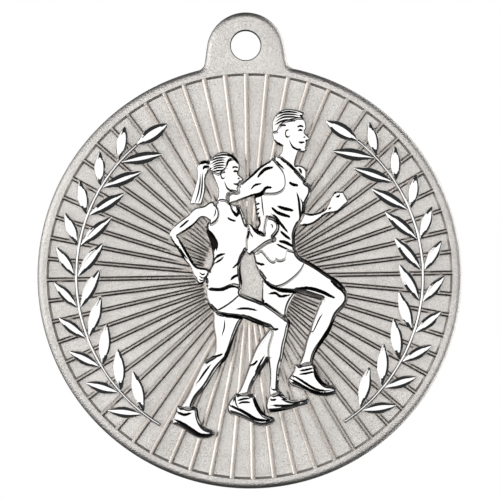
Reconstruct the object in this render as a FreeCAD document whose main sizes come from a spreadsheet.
"""Running medal, 50 mm: a round blank with a hanger tab, a sunburst of ribs in a sunken field,
two laurel branches and two runners in relief.

The medal stands as it hangs: +Z runs up to the tab, the struck face looks towards -Y and the
plain back lies in the plane Y = 0. The origin is the centre of the ring hole on that back plane.
Every piece is drawn about the disc's centre and then placed below the origin by hole_height.
"""
import FreeCAD, Part
import math
import os
import Sketcher

os.makedirs("parts", exist_ok=True)

Vector = FreeCAD.Vector
Rotation = FreeCAD.Rotation
doc = FreeCAD.newDocument("running_medal")

# ---------------------------------------------------------------- driving dimensions (mm, degrees)
SIZES = {
    # blank
    "disc_diameter": 50.0,
    "blank_thickness": 2.4,
    "border_width": 1.15,
    "field_depth": 0.5,
    "front_round": 0.7,
    "back_round": 0.3,
    # hanger tab
    "hole_diameter": 3.5,
    "hole_rise": 2.2,
    "tab_radius": 4.6,
    "tab_drop": 0.7,
    "tab_flare": 8.8,
    "tab_fillet": 1.0,
    # sunburst
    "rib_count": 60,
    "rib_width": 0.55,
    # laurel branches, angles measured from the tab
    "stem_inset": 3.45,
    "stem_width": 0.4,
    "stem_height": 0.7,
    "stem_end_angle": 148.0,
    "tip_leaf_angle": 39.5,
    "leaf_pairs": 10,
    "first_pair_angle": 47.35,
    "pair_pitch": 10.4,
    "leaf_height": 1.0,
    "leaf_foot_rise": 0.1,
    "leaf_taper": 35.0,
    "outer_leaf_length": 4.05,
    "outer_leaf_width": 1.3,
    "outer_leaf_tilt": 31.5,
    "inner_leaf_length": 5.0,
    "inner_leaf_width": 1.38,
    "inner_leaf_tilt": -37.0,
    "tip_leaf_length": 4.4,
    "tip_leaf_width": 1.65,
    "tip_leaf_tilt": -6.2,
    # runners: height above the field of the farthest layer, and the step from layer to layer
    "runner_height": 1.1,
    "layer_step": 0.12,
}

# sizes that follow from the driving ones
DERIVED = {
    "hole_height": "=disc_diameter / 2 + hole_rise",
    "field_radius": "=disc_diameter / 2 - border_width",
    "floor_height": "=blank_thickness - field_depth",
    "hub_radius": "=rib_count * rib_width / (2 * pi)",
    "stem_radius": "=field_radius - stem_inset",
    "leaf_foot": "=field_depth + leaf_foot_rise",
}

sheet = doc.addObject("Spreadsheet::Sheet", "Sizes")
for row, (alias, content) in enumerate((SIZES | DERIVED).items(), start=1):
    sheet.set(f"A{row}", alias)
    sheet.set(f"B{row}", str(content))
    sheet.setAlias(f"B{row}", alias)
doc.recompute()


def size(alias):
    """The sheet's value of one driving dimension."""
    return float(sheet.get(alias))


FLOOR = "Sizes.floor_height"   # height of the field above the back


# ---------------------------------------------------------------- helpers
def new_body(label):
    """A body whose own origin is the disc's centre."""
    body = doc.addObject("PartDesign::Body", label)
    body.Label = label
    body.setExpression("Placement.Base.z", "-Sizes.hole_height")
    return body


def plane(body, role):
    """One of the body's own origin planes or axes."""
    return next(item for item in body.Origin.OriginFeatures if item.Role == role)


def new_sketch(body, name, role="XZ_Plane", height=None):
    """A sketch on an origin plane; on XZ_Plane height lifts it towards the front."""
    sketch = body.newObject("Sketcher::SketchObject", name)
    sketch.AttachmentSupport = [(plane(body, role), "")]
    sketch.MapMode = "FlatFace"
    if height:
        sketch.setExpression("AttachmentOffset.Base.z", height)
    return sketch


def flat(x, z):
    """A point of a sketch."""
    return Vector(x, z, 0)


def bind(sketch, kind, *where, value, expression):
    """Adds a dimension that follows the sheet."""
    index = sketch.addConstraint(Sketcher.Constraint(kind, *where, value))
    sketch.setExpression(f"Constraints[{index}]", expression)


def pad(body, name, sketch, length):
    """A pad towards the front."""
    feature = body.newObject("PartDesign::Pad", name)
    feature.Profile = (sketch, [""])
    feature.setExpression("Length", length)
    return feature


# ---------------------------------------------------------------- blank: disc, border, tab and hole
START, END, CENTRE = 1, 2, 3     # the points of a sketch curve
ORIGIN = (-1, 1)                 # the sketch's own origin


def circle_sketch(body, name, radius, height):
    """A circle about the disc's centre, with the radius of that name."""
    sketch = new_sketch(body, name, height=height)
    sketch.addGeometry(Part.Circle(flat(0, 0), Vector(0, 0, 1), size(radius)))
    sketch.addConstraint(Sketcher.Constraint("Coincident", 0, CENTRE, *ORIGIN))
    bind(sketch, "Radius", 0, value=size(radius), expression=f"Sizes.{radius}")
    return sketch


def blank_outline(body):
    """The disc's edge, two flared sides and the tab's arc, closed in one loop."""
    disc_radius = size("disc_diameter") / 2
    tab_radius = size("tab_radius")
    tab_centre = size("hole_height") - size("tab_drop")
    flare = math.radians(size("tab_flare"))
    touch_x = tab_radius * math.cos(flare)
    touch_z = tab_centre + tab_radius * math.sin(flare)
    foot_x = touch_x + (touch_z - disc_radius) * math.tan(flare)
    foot_z = math.sqrt(disc_radius**2 - foot_x**2)
    foot = math.atan2(foot_z, foot_x)

    sketch = new_sketch(body, "outline_sketch")
    full_disc = Part.Circle(flat(0, 0), Vector(0, 0, 1), disc_radius)
    full_tab = Part.Circle(flat(0, tab_centre), Vector(0, 0, 1), tab_radius)
    disc = sketch.addGeometry(Part.ArcOfCircle(full_disc, math.pi - foot, 2 * math.pi + foot))
    right = sketch.addGeometry(Part.LineSegment(flat(foot_x, foot_z), flat(touch_x, touch_z)))
    tab = sketch.addGeometry(Part.ArcOfCircle(full_tab, flare, math.pi - flare))
    left = sketch.addGeometry(Part.LineSegment(flat(-touch_x, touch_z), flat(-foot_x, foot_z)))
    sketch.addConstraint(Sketcher.Constraint("Coincident", disc, CENTRE, *ORIGIN))
    sketch.addConstraint(Sketcher.Constraint("Coincident", disc, END, right, START))
    sketch.addConstraint(Sketcher.Constraint("Tangent", right, END, tab, START))
    sketch.addConstraint(Sketcher.Constraint("Tangent", tab, END, left, START))
    sketch.addConstraint(Sketcher.Constraint("Coincident", left, END, disc, START))
    sketch.addConstraint(Sketcher.Constraint("PointOnObject", tab, CENTRE, -2))
    sketch.addConstraint(Sketcher.Constraint("Symmetric", tab, START, tab, END, -2))
    bind(sketch, "Radius", disc, value=disc_radius, expression="Sizes.disc_diameter / 2")
    bind(sketch, "Radius", tab, value=tab_radius, expression="Sizes.tab_radius")
    bind(sketch, "DistanceY", *ORIGIN, tab, CENTRE, value=tab_centre,
         expression="Sizes.hole_height - Sizes.tab_drop")
    bind(sketch, "Angle", -2, 1, right, END, value=math.radians(180 + size("tab_flare")),
         expression="180 deg + Sizes.tab_flare * 1 deg")
    return sketch


def edges_where(shape, test):
    """Names of the shape's edges whose every vertex passes the test."""
    names = []
    for index, edge in enumerate(shape.Edges, start=1):
        if all(test(vertex.Point) for vertex in edge.Vertexes):
            names.append(f"Edge{index}")
    return names


def fillet(body, name, base, edges, radius):
    """A rounding of the named edges."""
    feature = body.newObject("PartDesign::Fillet", name)
    feature.Base = (base, edges)
    feature.setExpression("Radius", radius)
    doc.recompute()
    return feature


def build_blank():
    body = new_body("medal_blank")
    plate = pad(body, "plate", blank_outline(body), "Sizes.blank_thickness")
    doc.recompute()
    thickness = size("blank_thickness")
    near = 1e-4

    def is_root(point):
        """Where the tab's sides meet the disc's edge."""
        return abs(math.hypot(point.x, point.z) - size("disc_diameter") / 2) < near and point.z > 0

    upright = []
    for index, edge in enumerate(plate.Shape.Edges, start=1):
        along_y = abs(edge.BoundBox.YLength - thickness) < near
        if along_y and is_root(edge.Vertexes[0].Point):
            upright.append(f"Edge{index}")
    roots = fillet(body, "tab_roots", plate, upright, "Sizes.tab_fillet")
    front = edges_where(roots.Shape, lambda point: abs(point.y + thickness) < near)
    rim = fillet(body, "front_rounding", roots, front, "Sizes.front_round")
    back = edges_where(rim.Shape, lambda point: abs(point.y) < near)
    rim = fillet(body, "back_rounding", rim, back, "Sizes.back_round")

    field = circle_sketch(body, "field_sketch", "field_radius", height=FLOOR)
    pocket = body.newObject("PartDesign::Pocket", "field")
    pocket.Profile = (field, [""])
    pocket.Reversed = True
    pocket.setExpression("Length", "Sizes.field_depth")
    doc.recompute()

    hole_sketch = new_sketch(body, "hole_sketch")
    hole_height = size("hole_height")
    hole_sketch.addGeometry(Part.Circle(flat(0, hole_height), Vector(0, 0, 1),
                                        size("hole_diameter") / 2))
    hole_sketch.addConstraint(Sketcher.Constraint("PointOnObject", 0, CENTRE, -2))
    bind(hole_sketch, "DistanceY", *ORIGIN, 0, CENTRE, value=hole_height,
         expression="Sizes.hole_height")
    bind(hole_sketch, "Diameter", 0, value=size("hole_diameter"), expression="Sizes.hole_diameter")
    hole = body.newObject("PartDesign::Pocket", "ring_hole")
    hole.Profile = (hole_sketch, [""])
    hole.Type = "ThroughAll"
    hole.Reversed = True
    doc.recompute()
    return body


# ---------------------------------------------------------------- sunburst: hub and ribs
def pattern(body, name, features, count, total_angle, reverse=False):
    """Repeats features about the disc's axis."""
    feature = body.newObject("PartDesign::PolarPattern", name)
    feature.Originals = features
    feature.Axis = (plane(body, "Y_Axis"), [""])
    feature.Reversed = reverse
    feature.setExpression("Angle", total_angle)
    feature.setExpression("Occurrences", count)
    body.Tip = feature
    return feature


def build_sunburst():
    """The uncut star of ribs; what the relief covers is taken out of it later."""
    body = new_body("sunburst")
    hub = circle_sketch(body, "hub_sketch", "hub_radius", height=FLOOR)
    pad(body, "hub", hub, "Sizes.field_depth")

    sketch = new_sketch(body, "rib_sketch", height=FLOOR)
    half_width = size("rib_width") / 2
    field_radius = size("field_radius")
    inner = size("hub_radius") / 2
    outer = math.sqrt(field_radius**2 - half_width**2)
    corners = [flat(-half_width, inner), flat(half_width, inner),
               flat(half_width, outer), flat(-half_width, outer)]
    for side in (0, 1, 3):
        sketch.addGeometry(Part.LineSegment(corners[side], corners[(side + 1) % 4]))
    rim = Part.Circle(flat(0, 0), Vector(0, 0, 1), field_radius)
    lean = math.asin(half_width / field_radius)
    sketch.addGeometry(Part.ArcOfCircle(rim, math.pi / 2 - lean, math.pi / 2 + lean))
    foot, right, left, cap = range(4)
    sketch.addConstraint(Sketcher.Constraint("Coincident", foot, END, right, START))
    sketch.addConstraint(Sketcher.Constraint("Coincident", right, END, cap, START))
    sketch.addConstraint(Sketcher.Constraint("Coincident", cap, END, left, START))
    sketch.addConstraint(Sketcher.Constraint("Coincident", left, END, foot, START))
    sketch.addConstraint(Sketcher.Constraint("Coincident", cap, CENTRE, *ORIGIN))
    sketch.addConstraint(Sketcher.Constraint("Vertical", right))
    sketch.addConstraint(Sketcher.Constraint("Symmetric", foot, START, foot, END, -2))
    sketch.addConstraint(Sketcher.Constraint("Symmetric", cap, START, cap, END, -2))
    bind(sketch, "DistanceX", foot, START, foot, END, value=2 * half_width,
         expression="Sizes.rib_width")
    bind(sketch, "DistanceY", *ORIGIN, foot, START, value=inner, expression="Sizes.hub_radius / 2")
    bind(sketch, "Radius", cap, value=field_radius, expression="Sizes.field_radius")
    rib = pad(body, "rib", sketch, "Sizes.field_depth")
    pattern(body, "ribs", [rib], "Sizes.rib_count", "360 deg")
    return body


# ---------------------------------------------------------------- laurel branches
SIDES = {"left": -1, "right": 1}


def leaf_place(sketch, side, angle, tilt, radius):
    """Puts a leaf's sketch on the branch: foot at an angle from the tab, tip towards the tab.

    The leaf's own x axis leaves the foot along the stem, turned outwards by tilt.
    """
    sketch.setExpression("AttachmentOffset.Base.x", f"{side} * {radius} * sin({angle} * 1 deg)")
    sketch.setExpression("AttachmentOffset.Base.y", f"{radius} * cos({angle} * 1 deg)")
    heading = f"({angle} + {tilt}) * 1 deg"
    if side > 0:
        heading = f"180 deg - {heading}"
    sketch.setExpression("AttachmentOffset.Rotation.Angle", heading)


def leaf_outline(body, name, kind, height):
    """Two equal arcs from foot to tip."""
    length = size(f"{kind}_length")
    half_width = size(f"{kind}_width") / 2
    radius = (length**2 / 4 + half_width**2) / (2 * half_width)
    half_angle = math.asin(length / 2 / radius)
    sketch = new_sketch(body, name, height=height)
    above = Part.Circle(flat(length / 2, half_width - radius), Vector(0, 0, 1), radius)
    below = Part.Circle(flat(length / 2, radius - half_width), Vector(0, 0, 1), radius)
    up, down = math.pi / 2, 3 * math.pi / 2
    top = sketch.addGeometry(Part.ArcOfCircle(above, up - half_angle, up + half_angle))
    low = sketch.addGeometry(Part.ArcOfCircle(below, down - half_angle, down + half_angle))
    sketch.addConstraint(Sketcher.Constraint("Coincident", top, END, low, START))
    sketch.addConstraint(Sketcher.Constraint("Coincident", top, START, low, END))
    sketch.addConstraint(Sketcher.Constraint("Coincident", low, START, *ORIGIN))
    sketch.addConstraint(Sketcher.Constraint("PointOnObject", low, END, -1))
    sketch.addConstraint(Sketcher.Constraint("Equal", top, low))
    bind(sketch, "DistanceX", low, START, low, END, value=length, expression=f"Sizes.{kind}_length")
    rule = f"(Sizes.{kind}_length^2 / 4 + Sizes.{kind}_width^2 / 4) / Sizes.{kind}_width"
    bind(sketch, "Radius", low, value=radius, expression=rule)
    return sketch


def build_leaves(label, side, kind, angle, radius, repeat):
    """A row of leaves with upright feet and sloping upper sides, or a single one."""
    body = new_body(label)
    tilt = f"Sizes.{kind}_tilt"
    foot_sketch = leaf_outline(body, "foot_sketch", kind, FLOOR)
    leaf_place(foot_sketch, side, angle, tilt, radius)
    foot = pad(body, "foot", foot_sketch, "Sizes.leaf_foot")
    blade_sketch = leaf_outline(body, "blade_sketch", kind, f"{FLOOR} + Sizes.leaf_foot")
    leaf_place(blade_sketch, side, angle, tilt, radius)
    blade = pad(body, "blade", blade_sketch, "Sizes.leaf_height - Sizes.leaf_foot")
    blade.setExpression("TaperAngle", "-Sizes.leaf_taper")
    if repeat:
        pattern(body, "row", [foot, blade], "Sizes.leaf_pairs",
                "Sizes.pair_pitch * (Sizes.leaf_pairs - 1)", reverse=side < 0)
    return body


def build_stem(label, side):
    """A square-section stem that follows one ring about the disc's centre."""
    body = new_body(label)
    sketch = new_sketch(body, "section", role="YZ_Plane")
    middle = size("stem_radius")
    half_width = size("stem_width") / 2
    floor = size("floor_height")
    top = floor + size("stem_height")
    corners = [flat(-floor, middle - half_width), flat(-floor, middle + half_width),
               flat(-top, middle + half_width), flat(-top, middle - half_width)]
    for index in range(4):
        sketch.addGeometry(Part.LineSegment(corners[index], corners[(index + 1) % 4]))
    for index in range(4):
        sketch.addConstraint(Sketcher.Constraint("Coincident", index, END, (index + 1) % 4, START))
        direction = "Horizontal" if index % 2 else "Vertical"
        sketch.addConstraint(Sketcher.Constraint(direction, index))
    bind(sketch, "DistanceX", 0, START, *ORIGIN, value=floor, expression=FLOOR)
    bind(sketch, "DistanceX", 2, START, 1, START, value=top - floor,
         expression="Sizes.stem_height")
    bind(sketch, "DistanceY", *ORIGIN, 0, START, value=middle - half_width,
         expression="Sizes.stem_radius - Sizes.stem_width / 2")
    bind(sketch, "DistanceY", 0, START, 0, END, value=2 * half_width,
         expression="Sizes.stem_width")
    sketch.AttachmentOffset = FreeCAD.Placement(Vector(0, 0, 0), Rotation(Vector(1, 0, 0), 1))
    lean = "Sizes.tip_leaf_angle * 1 deg"
    sketch.setExpression("AttachmentOffset.Rotation.Angle", lean if side > 0 else f"-{lean}")
    stem = body.newObject("PartDesign::Revolution", "stem")
    stem.Profile = (sketch, [""])
    stem.ReferenceAxis = (plane(body, "Y_Axis"), [""])
    stem.Reversed = side < 0
    stem.setExpression("Angle", "(Sizes.stem_end_angle - Sizes.tip_leaf_angle) * 1 deg")
    return body


def cut_from(label, base, tools):
    """The base with its neighbours' shapes taken out, so that they meet face to face."""
    group = doc.addObject("Part::Compound", f"{label}_neighbours")
    group.Links = tools
    result = doc.addObject("Part::Cut", label)
    result.Label = label
    result.Base = base
    result.Tool = group
    return result


def build_branch(name, side):
    """Stem, tip leaf and the two rows of leaves of one branch."""
    stem = build_stem(f"{name}_branch_stem", side)
    first = "Sizes.first_pair_angle"
    outer_edge = "(Sizes.stem_radius + Sizes.stem_width / 2)"
    inner_edge = "(Sizes.stem_radius - Sizes.stem_width / 2)"
    outer = build_leaves(f"{name}_outer_row", side, "outer_leaf", first, outer_edge, True)
    inner = build_leaves(f"{name}_inner_row", side, "inner_leaf", first, inner_edge, True)
    tip = build_leaves(f"{name}_branch_tip_leaf", side, "tip_leaf", "Sizes.tip_leaf_angle",
                       "Sizes.stem_radius", False)
    return [stem, tip,
            cut_from(f"{name}_branch_outer_leaves", outer, [stem]),
            cut_from(f"{name}_branch_inner_leaves", inner, [stem])]


# ---------------------------------------------------------------- runners
# An outline is a list of stretches. Each stretch is one smooth curve that starts where the last one
# ended, so a corner is where one stretch ends. Points are (x, z) about the disc's centre, for a
# field of DRAWN_RADIUS, and follow the field's real size.
DRAWN_RADIUS = 23.85

# layer, outline: the nearest piece comes first and covers those after it
OUTLINES = {
    "left_runner_rear_arm": (5, [
        [(-3.9, 8.6), (-4.5, 8.85), (-5.1, 8.45), (-6.2, 8.2), (-7.0, 7.5), (-8.2, 6.6),
         (-9.1, 5.7), (-9.35, 5.1), (-9.2, 4.6), (-8.5, 3.5), (-7.8, 2.3), (-7.0, 1.2),
         (-6.4, -0.1), (-5.95, -0.85)],
        [(-5.6, -0.8), (-5.1, -0.2), (-4.7, 0.5), (-4.8, 0.95)],
        [(-5.3, 1.1), (-6.2, 1.3), (-6.7, 2.0), (-7.4, 3.3), (-8.1, 4.5), (-8.4, 4.9)],
        [(-7.5, 5.4), (-6.6, 6.0), (-6.0, 6.6), (-5.6, 6.95), (-5.1, 6.95), (-4.75, 6.7),
         (-4.6, 6.1)],
        [(-4.0, 6.3), (-3.6, 6.7), (-3.4, 7.3), (-3.5, 8.0), (-3.9, 8.6)],
    ]),
    "left_runner_hair": (5, [
        [(-4.7, 13.2), (-4.5, 13.6), (-4.0, 14.2), (-3.0, 14.7), (-2.0, 14.45), (-1.35, 13.95),
         (-1.1, 13.45)],
        [(-1.35, 13.7), (-1.75, 13.8), (-2.15, 13.65), (-2.35, 13.3), (-2.45, 12.9),
         (-2.9, 12.35), (-3.5, 12.0)],
        [(-4.0, 12.25), (-4.5, 12.6), (-4.7, 13.2)],
    ]),
    "left_runner_ponytail": (4, [
        [(-4.65, 13.55), (-5.1, 13.75), (-5.7, 13.5), (-6.0, 12.9), (-5.95, 12.2), (-6.0, 11.5),
         (-6.3, 10.5), (-6.6, 9.6), (-6.9, 8.6)],
        [(-6.1, 8.5), (-5.5, 8.5)],
        [(-5.2, 9.5), (-5.0, 10.5), (-5.0, 11.4), (-4.8, 12.1), (-4.5, 12.6), (-4.65, 13.55)],
    ]),
    "left_runner_singlet": (3, [
        [(-3.9, 8.6), (-3.3, 8.95), (-2.6, 8.85), (-2.2, 8.55)],
        [(-1.95, 7.9), (-1.6, 7.35), (-1.35, 7.25), (-1.2, 7.6), (-1.25, 7.95), (-1.05, 8.3)],
        [(-0.7, 7.7), (-0.35, 6.6), (-0.05, 5.8), (-0.05, 5.1), (-0.25, 4.4), (-0.35, 3.0),
         (-0.85, 2.1), (-1.0, 1.5), (-1.05, 0.6), (-0.9, -0.4), (-0.95, -1.4)],
        [(-1.4, -1.0), (-2.0, -0.9), (-2.6, -1.1), (-3.4, -1.4), (-4.2, -1.5), (-5.0, -1.35)],
        [(-5.15, -0.4), (-5.0, 0.5), (-4.55, 1.3), (-4.35, 1.9), (-4.4, 3.0), (-4.6, 4.2),
         (-4.95, 5.2), (-4.9, 6.3)],
        [(-4.0, 7.5), (-3.9, 8.6)],
    ]),
    "left_runner_head": (4, [
        [(-3.0, 14.4), (-1.5, 14.0), (-1.05, 13.5), (-0.93, 13.05), (-0.97, 12.6), (-1.08, 12.3)],
        [(-0.85, 11.8), (-0.55, 11.45), (-0.62, 11.25), (-0.97, 11.15)],
        [(-0.86, 10.92), (-1.0, 10.76)],
        [(-0.9, 10.58), (-1.08, 10.38), (-0.98, 10.05), (-1.25, 9.8), (-1.8, 9.85), (-2.4, 9.7)],
        [(-2.5, 9.2), (-2.2, 8.6), (-1.5, 8.45), (-1.05, 8.25)],
        [(-1.3, 7.2), (-2.2, 7.6), (-3.9, 8.4)],
        [(-3.7, 9.0), (-3.5, 9.8), (-3.6, 10.6), (-3.9, 11.4), (-4.3, 12.6), (-3.0, 14.4)],
    ]),
    "left_runner_front_arm": (4, [
        [(-0.1, 6.35), (0.6, 5.75), (1.2, 5.25), (1.75, 5.0)],
        [(1.85, 6.0), (2.1, 6.95)],
        [(2.6, 6.95), (3.3, 6.5), (3.55, 5.8), (3.3, 5.1), (2.85, 4.6)],
        [(3.15, 4.3), (2.7, 4.05)],
        [(1.7, 3.6), (0.8, 2.9), (0.0, 2.5)],
        [(-0.35, 3.0), (-0.6, 4.4), (-0.1, 6.35)],
    ]),
    "left_runner_front_shoe": (4, [
        [(2.1, -14.1), (1.8, -14.6), (1.65, -15.4), (1.8, -15.9), (2.2, -16.1)],
        [(4.0, -15.8), (5.8, -15.3), (6.7, -14.75), (6.6, -14.4), (6.2, -14.45), (5.4, -14.65),
         (4.6, -14.6), (3.9, -14.15), (3.5, -13.6)],
        [(2.8, -13.85), (2.1, -14.1)],
    ]),
    "left_runner_shorts": (3, [
        [(-5.1, -0.6), (-5.2, -1.3), (-5.2, -2.0), (-5.0, -3.0), (-4.2, -4.1)],
        [(-3.3, -3.65), (-2.0, -2.8), (-1.05, -1.9)],
        [(-0.95, -1.4), (-1.1, -0.6)],
        [(-5.1, -0.6)],
    ]),
    "left_runner_front_leg": (3, [
        [(-1.5, -1.6), (0.0, -2.4), (0.8, -2.7), (2.2, -3.5), (3.5, -4.5), (4.0, -4.85),
         (4.45, -5.05), (4.7, -5.6), (4.5, -6.2), (4.35, -6.9), (4.0, -8.1), (3.75, -9.5),
         (3.4, -10.7), (3.25, -12.3), (3.2, -13.1), (3.6, -13.9)],
        [(3.3, -14.6), (2.2, -14.7)],
        [(2.05, -13.8), (2.15, -12.0), (2.05, -10.0), (2.0, -9.0), (2.2, -7.8), (2.5, -6.7),
         (2.4, -6.2)],
        [(1.2, -5.8), (0.0, -5.3), (-1.2, -4.8), (-2.8, -4.6), (-4.2, -4.1)],
        [(-3.5, -2.5), (-1.5, -1.6)],
    ]),
    "left_runner_rear_shoe": (3, [
        [(-8.85, -15.1), (-9.0, -15.7), (-9.2, -16.2), (-9.4, -16.8), (-9.2, -17.3)],
        [(-8.0, -17.9), (-7.0, -18.6), (-6.2, -18.9), (-5.5, -18.95), (-4.8, -18.75),
         (-4.4, -18.3), (-4.7, -18.0), (-5.5, -17.65), (-6.0, -17.1), (-6.3, -16.1),
         (-6.5, -15.3), (-6.9, -15.15)],
        [(-7.6, -15.35), (-8.3, -15.1), (-8.85, -15.1)],
    ]),
    "left_runner_rear_leg": (2, [
        [(-4.3, -3.6), (-4.4, -5.0), (-4.4, -5.8), (-4.2, -7.4), (-4.2, -8.2), (-4.4, -9.1),
         (-5.4, -9.8), (-6.1, -10.8), (-7.1, -12.9), (-8.2, -14.8)],
        [(-8.4, -15.6), (-7.1, -15.9)],
        [(-6.9, -15.1), (-6.6, -14.4), (-5.5, -13.1), (-4.6, -11.7), (-3.8, -10.6),
         (-3.0, -9.8), (-2.4, -8.6), (-1.9, -7.1), (-1.3, -5.7), (-0.6, -4.6)],
        [(-2.5, -3.4), (-4.3, -3.6)],
    ]),
    "right_runner_hair": (4, [
        [(3.05, 16.8), (2.95, 17.6), (3.2, 18.6), (3.8, 19.3), (4.5, 19.6), (5.2, 19.6),
         (6.1, 19.4), (6.75, 19.1)],
        [(6.6, 18.75), (6.4, 18.45)],
        [(5.8, 18.4), (5.0, 18.2), (4.3, 17.95), (3.85, 17.5), (3.6, 16.9)],
        [(3.05, 16.8)],
    ]),
    "right_runner_near_arm": (3, [
        [(-2.3, 9.4), (-1.5, 10.3), (-0.7, 11.0), (0.5, 12.05), (1.3, 12.8), (2.3, 13.4),
         (2.95, 13.9)],
        [(3.5, 13.2), (4.1, 12.45), (4.45, 11.3), (4.3, 10.3), (3.5, 9.7), (2.4, 9.6),
         (1.5, 9.65)],
        [(0.4, 9.4), (-0.5, 9.1), (-1.2, 8.85), (-2.3, 8.6)],
        [(-2.3, 9.4)],
    ]),
    "right_runner_singlet": (2, [
        [(2.95, 13.9), (3.75, 14.05)],
        [(4.2, 13.55), (4.8, 13.1), (5.5, 12.4), (6.3, 11.5), (6.95, 10.95)],
        [(7.4, 10.4), (7.4, 9.6), (6.85, 8.4), (6.65, 7.5), (6.3, 6.7), (5.85, 5.9),
         (5.45, 5.0), (5.4, 4.2), (5.5, 2.75)],
        [(4.5, 3.05)],
        [(4.3, 2.5), (4.2, 2.1), (3.7, 1.8), (3.15, 2.05)],
        [(2.8, 1.65), (2.2, 2.1), (1.3, 3.0)],
        [(0.5, 2.4)],
        [(0.4, 4.0), (0.85, 5.6), (1.15, 6.3), (0.95, 7.0), (0.75, 8.2), (0.6, 9.2)],
        [(1.5, 11.0), (2.95, 13.9)],
    ]),
    "right_runner_head": (3, [
        [(4.5, 19.3), (6.3, 18.9), (6.85, 18.2), (6.97, 17.7), (6.95, 17.25), (6.8, 16.95)],
        [(7.05, 16.5), (7.38, 16.1), (7.3, 15.9), (6.95, 15.8)],
        [(7.08, 15.55), (6.95, 15.4)],
        [(7.05, 15.22), (6.88, 15.02), (6.98, 14.75), (6.7, 14.5), (6.1, 14.7)],
        [(5.85, 14.1), (5.65, 13.5), (5.6, 12.95)],
        [(6.1, 12.95), (6.6, 12.75), (6.9, 12.2), (6.87, 11.5), (6.95, 10.95)],
        [(5.0, 11.5), (3.0, 13.0)],
        [(3.0, 13.95), (3.6, 14.15), (4.05, 14.7), (4.1, 15.2)],
        [(3.6, 15.4), (3.2, 15.8), (3.0, 16.4), (3.0, 17.2), (4.5, 19.3)],
    ]),
    "right_runner_front_arm": (1, [
        [(6.2, 7.6), (7.3, 7.25), (8.5, 7.5), (9.1, 7.9), (9.6, 8.8), (10.0, 9.6), (10.3, 9.85),
         (10.8, 9.8), (11.2, 9.9)],
        [(11.45, 9.3), (11.7, 8.5), (11.3, 8.1), (10.4, 7.35), (9.3, 7.2), (8.4, 6.6),
         (7.2, 5.9), (6.6, 5.8), (5.6, 6.2)],
        [(6.2, 7.6)],
    ]),
    "right_runner_front_shoe": (3, [
        [(5.0, -10.4), (4.8, -11.4), (4.35, -12.3), (4.6, -12.8), (5.2, -13.1)],
        [(6.8, -13.8), (7.6, -14.1), (8.5, -14.25), (9.4, -14.15), (9.95, -13.85),
         (10.0, -13.4), (9.6, -13.0), (8.9, -12.85), (8.1, -12.0), (7.8, -11.0), (7.3, -10.2)],
        [(6.2, -10.4), (5.0, -10.4)],
    ]),
    "right_runner_shorts": (3, [
        [(0.45, 3.2), (0.55, 2.0), (0.8, 1.0), (1.5, -0.3), (2.0, -0.9), (2.6, -1.3)],
        [(3.6, -1.2), (5.0, -0.4), (6.2, 0.8), (6.6, 1.85)],
        [(5.9, 2.3), (5.5, 3.2)],
        [(0.45, 3.2)],
    ]),
    "right_runner_front_leg": (2, [
        [(5.4, 2.6), (6.2, 2.1), (6.9, 1.7), (8.2, 0.9), (9.2, 0.15), (10.2, -0.5), (11.1, -1.4),
         (11.5, -2.6), (11.2, -3.6), (10.2, -4.7), (9.6, -6.1), (8.4, -8.0), (7.5, -9.4),
         (7.3, -10.3)],
        [(7.3, -11.2), (5.6, -11.2)],
        [(5.7, -10.2), (6.1, -9.2), (6.4, -8.0), (6.9, -6.6), (7.4, -5.2), (8.0, -3.7),
         (8.4, -2.8)],
        [(7.5, -2.5), (6.0, -2.0), (4.0, -1.8), (2.6, -1.3)],
        [(2.6, 0.6), (5.4, 2.6)],
    ]),
    "right_runner_rear_shoe": (2, [
        [(-1.9, -13.7), (-2.4, -14.3), (-2.9, -15.2), (-2.85, -15.8), (-2.4, -16.2)],
        [(-1.2, -16.6), (0.0, -17.2), (0.8, -17.6), (1.6, -17.6), (2.4, -17.3), (2.7, -16.95),
         (2.5, -16.65), (1.8, -16.4), (1.1, -15.7), (0.6, -14.7), (0.4, -13.8)],
        [(-0.6, -13.8), (-1.9, -13.7)],
    ]),
    "right_runner_rear_thigh": (1, [
        [(1.4, -0.4), (1.3, -2.8)],
        [(3.5, -4.8), (4.4, -4.9)],
        [(4.4, -4.2), (5.1, -2.6), (5.6, -1.8)],
        [(4.0, -1.2), (1.4, -0.4)],
    ]),
    "right_runner_rear_shin": (1, [
        [(2.3, -6.0), (1.7, -6.8), (0.6, -8.3), (-0.3, -10.4), (-1.2, -12.8), (-1.8, -13.9)],
        [(-0.2, -14.2)],
        [(0.1, -12.9), (1.2, -11.1), (2.2, -9.4)],
        [(2.8, -7.5), (2.3, -6.0)],
    ]),
}


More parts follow.
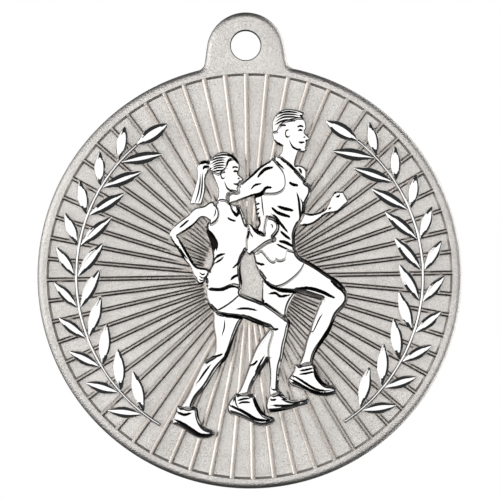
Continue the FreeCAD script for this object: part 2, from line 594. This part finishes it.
def outline_face(stretches):
    """The flat face inside a closed outline, on the field's floor."""
    scale = size("field_radius") / DRAWN_RADIUS
    floor = size("floor_height")
    last = stretches[0][0]
    edges = []
    for stretch in stretches:
        route = stretch if stretch[0] == last else [last] + stretch
        points = [Vector(x * scale, -floor, z * scale) for x, z in route]
        if len(points) == 2:
            curve = Part.LineSegment(*points)
        else:
            curve = Part.BSplineCurve()
            curve.interpolate(points)
        edges.append(curve.toShape())
        last = stretch[-1]
    return Part.Face(Part.Wire(edges))


def build_runners():
    """Upright-sided pieces of both runners, each cut back by the pieces in front of it."""
    smallest = 0.05
    covered = []
    pieces = []
    for label, (layer, stretches) in OUTLINES.items():
        face = outline_face(stretches)
        visible = face.cut(covered) if covered else face
        covered.append(face)
        height = size("runner_height") + layer * size("layer_step")
        faces = [part for part in visible.Faces if part.Area > smallest]
        solids = [part.extrude(Vector(0, -height, 0)) for part in faces]
        piece = doc.addObject("Part::Feature", label)
        piece.Label = label
        piece.Shape = solids[0] if len(solids) == 1 else Part.makeCompound(solids)
        piece.Placement = FreeCAD.Placement(Vector(0, 0, -size("hole_height")), Rotation())
        pieces.append(piece)
    return pieces


# ---------------------------------------------------------------- the medal
blank = build_blank()
sunburst = build_sunburst()
relief = build_branch("left", SIDES["left"])
relief += build_branch("right", SIDES["right"])
relief += build_runners()
doc.recompute()
ribs = cut_from("sunburst_ribs", sunburst, relief)
doc.recompute()

# ---------------------------------------------------------------- checks and files
faults = [item.Label for item in doc.Objects
          if "Invalid" in item.State or "Error" in item.State]
nodes = [blank, ribs] + relief
for node in nodes:
    if node.Shape.isNull() or not node.Shape.isValid() or not node.Shape.Solids:
        faults.append(node.Label)
if faults:
    raise RuntimeError(f"not built: {sorted(set(faults))}")
for node in nodes:
    node.Shape.exportStep(f"parts/{node.Label}.step")
    box = node.Shape.BoundBox
    print(f"{node.Label:32s} solids {len(node.Shape.Solids):3d}  volume {node.Shape.Volume:9.3f}"
          f"  y {box.YMin:6.2f} to {box.YMax:5.2f}")
